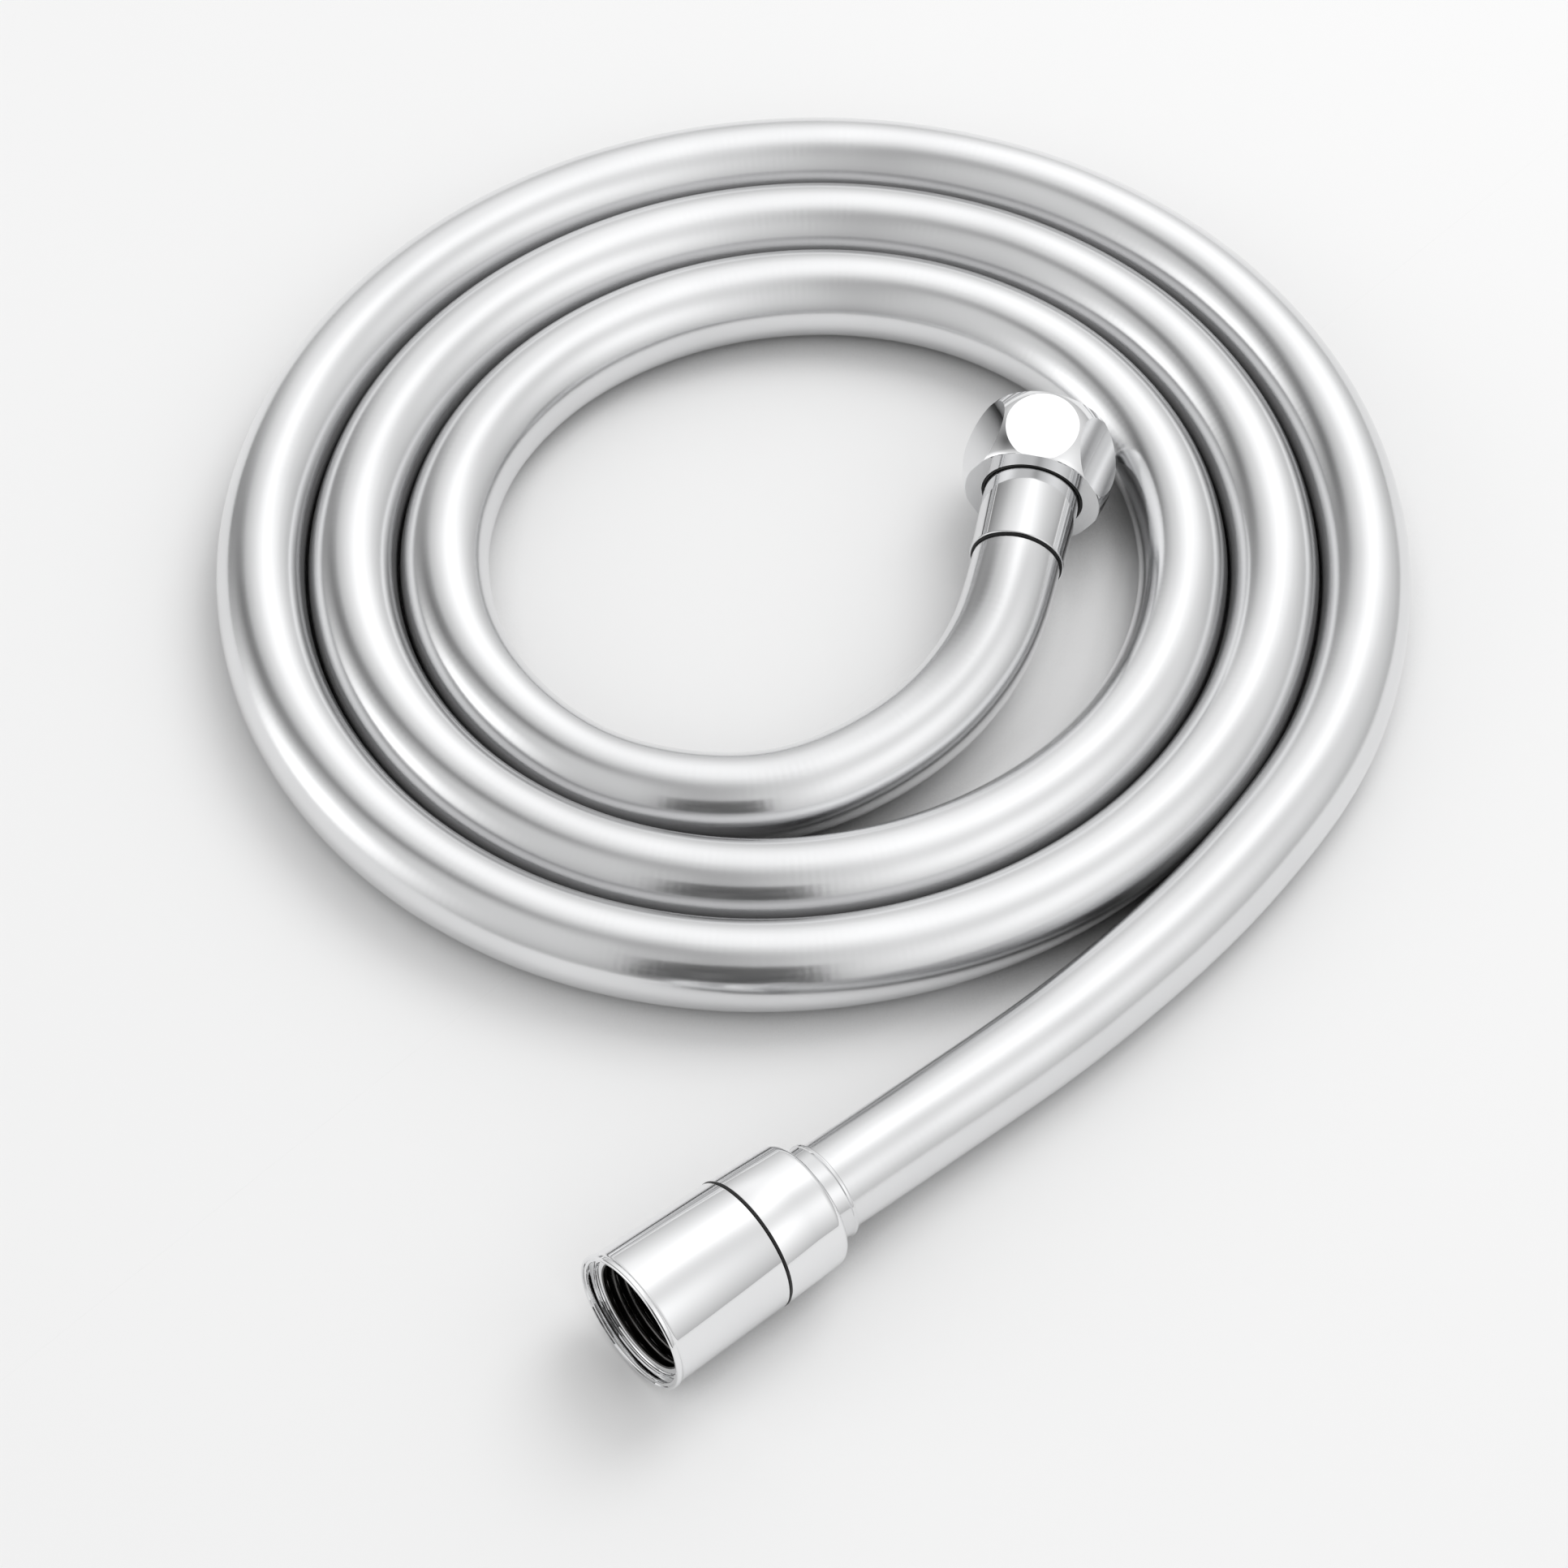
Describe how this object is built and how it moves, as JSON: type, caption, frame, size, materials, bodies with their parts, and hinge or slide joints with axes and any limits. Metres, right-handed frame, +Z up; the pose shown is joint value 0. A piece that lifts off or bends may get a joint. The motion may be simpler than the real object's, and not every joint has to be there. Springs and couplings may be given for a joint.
{
  "type": "coiled shower hose",
  "caption": "Smooth silver shower hose lying as a flat coil, with a sliding hexagon nut at one end and a two-piece swivelling cone nut at the other.",
  "frame": {"origin": "on the floor, under the centre of the bounding box of the coiled hose", "axes": "+Z up, out of the plane of the coil; -Y towards the cone end, the side nearest the viewer; +X to the viewer's right"},
  "size_m": [0.2034, 0.2567, 0.0251],
  "materials": {
    "chrome": "polished",
    "ferrule_steel": "polished",
    "brass": "turned",
    "black_plastic": "satin",
    "black_rubber": "matte",
    "clear_vinyl": "glossy",
    "silver_film": "metallised",
    "polyester_yarn": "woven",
    "liner_vinyl": "satin"
  },
  "bodies": {
    "root": {"clear_jacket": "clear_vinyl", "silver_film": "silver_film", "braid_sleeve": "polyester_yarn", "inner_tube": "liner_vinyl", "hex_washer": "black_rubber", "hex_tail": "brass", "hex_ferrule": "ferrule_steel", "hex_end_ring": "black_plastic", "cone_tail": "brass", "cone_o_ring_front": "black_rubber", "cone_o_ring_rear": "black_rubber", "cone_sleeve": "chrome", "cone_ferrule": "ferrule_steel"},
    "hex_nut_slider": {"hex_slip_ring": "black_plastic"},
    "hex_nut_turner": {"hex_nut": "chrome"},
    "cone_swivel": {"cone_nut": "chrome", "cone_spigot": "brass", "cone_washer": "black_rubber", "swivel_ring": "black_plastic"}
  },
  "joints": [
    {"name": "hex_nut_slide", "type": "slide", "parent": "root", "child": "hex_nut_slider", "axis": [-0.1994, -0.9799, 0], "range_m": [0, 0.0105]},
    {"name": "hex_nut_spin", "type": "hinge", "parent": "hex_nut_slider", "child": "hex_nut_turner", "pos_m": [0.0396, 0.0548, 0.0135], "axis": [0.1994, 0.9799, 0], "continuous": true},
    {"name": "cone_nut_spin", "type": "hinge", "parent": "root", "child": "cone_swivel", "pos_m": [-0.0272, -0.1193, 0.0126], "axis": [-0.7628, -0.6446, 0.0506], "continuous": true}
  ]
}
